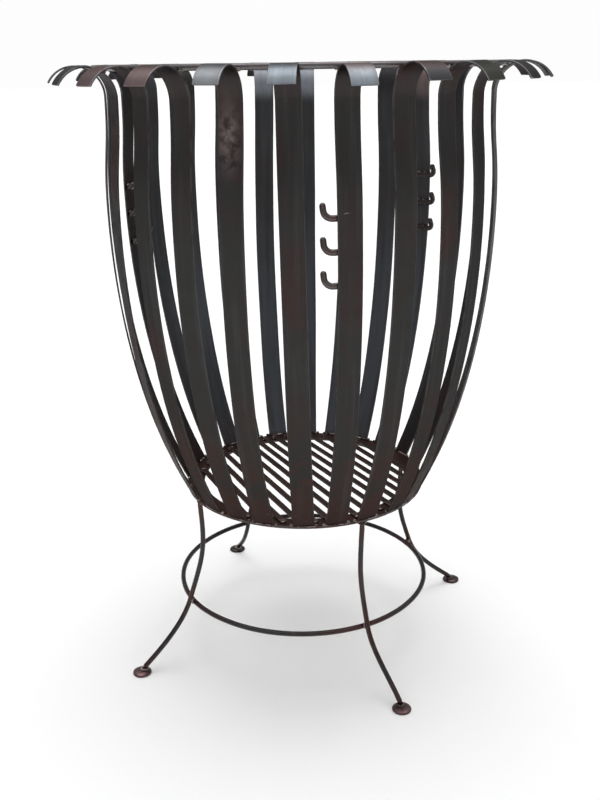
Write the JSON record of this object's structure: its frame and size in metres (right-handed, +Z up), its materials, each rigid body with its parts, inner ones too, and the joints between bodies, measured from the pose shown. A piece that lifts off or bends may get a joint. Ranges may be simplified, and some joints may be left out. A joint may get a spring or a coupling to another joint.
{
  "type": "fire pit with grate",
  "caption": "Open vase-shaped fire basket of flat steel strips with rolled petal tips, a slatted fire grate, grill hooks and four bowed rod legs.",
  "frame": {"origin": "on the floor, at the centre of the foot circle", "axes": "+Z up through the middle of the basket, -Y towards the front, from which the picture was taken"},
  "size_m": [0.549, 0.5487, 0.7111],
  "materials": {
    "strip_steel": "dark raw flat bar under satin lacquer, with maroon and brown heat tints",
    "rod_steel": "dark round bar under satin lacquer, rust-brown at the welds",
    "base_steel": "dark flat ring, red-brown weld heat tint",
    "grate_steel": "dark mottled flat bar, duller than the basket",
    "hook_steel": "dark round bar, shiny at the cut ends",
    "foot_steel": "dark disc, rust-brown round the weld"
  },
  "bodies": {
    "root": {"strip_01": "strip_steel", "strip_02": "strip_steel", "strip_03": "strip_steel", "strip_04": "strip_steel", "strip_05": "strip_steel", "strip_06": "strip_steel", "strip_07": "strip_steel", "strip_08": "strip_steel", "strip_09": "strip_steel", "strip_10": "strip_steel", "strip_11": "strip_steel", "strip_12": "strip_steel", "strip_13": "strip_steel", "strip_14": "strip_steel", "strip_15": "strip_steel", "strip_16": "strip_steel", "strip_17": "strip_steel", "strip_18": "strip_steel", "strip_19": "strip_steel", "strip_20": "strip_steel", "strip_21": "strip_steel", "strip_22": "strip_steel", "strip_23": "strip_steel", "strip_24": "strip_steel", "rim_ring": "rod_steel", "base_ring": "base_steel", "stretcher_ring": "rod_steel", "grate_slat_01": "grate_steel", "grate_slat_02": "grate_steel", "grate_slat_03": "grate_steel", "grate_slat_04": "grate_steel", "grate_slat_05": "grate_steel", "grate_slat_06": "grate_steel", "grate_slat_07": "grate_steel", "grate_slat_08": "grate_steel", "grate_slat_09": "grate_steel", "grate_slat_10": "grate_steel", "grate_slat_11": "grate_steel", "grate_slat_12": "grate_steel", "grate_slat_13": "grate_steel", "grate_slat_14": "grate_steel", "grate_slat_15": "grate_steel", "grate_slat_16": "grate_steel", "leg_front_right": "rod_steel", "foot_front_right": "foot_steel", "leg_back_right": "rod_steel", "foot_back_right": "foot_steel", "leg_back_left": "rod_steel", "foot_back_left": "foot_steel", "leg_front_left": "rod_steel", "foot_front_left": "foot_steel", "hook_a1": "hook_steel", "hook_a2": "hook_steel", "hook_a3": "hook_steel", "hook_b1": "hook_steel", "hook_b2": "hook_steel", "hook_b3": "hook_steel", "hook_c1": "hook_steel", "hook_c2": "hook_steel", "hook_c3": "hook_steel"}
  },
  "joints": []
}
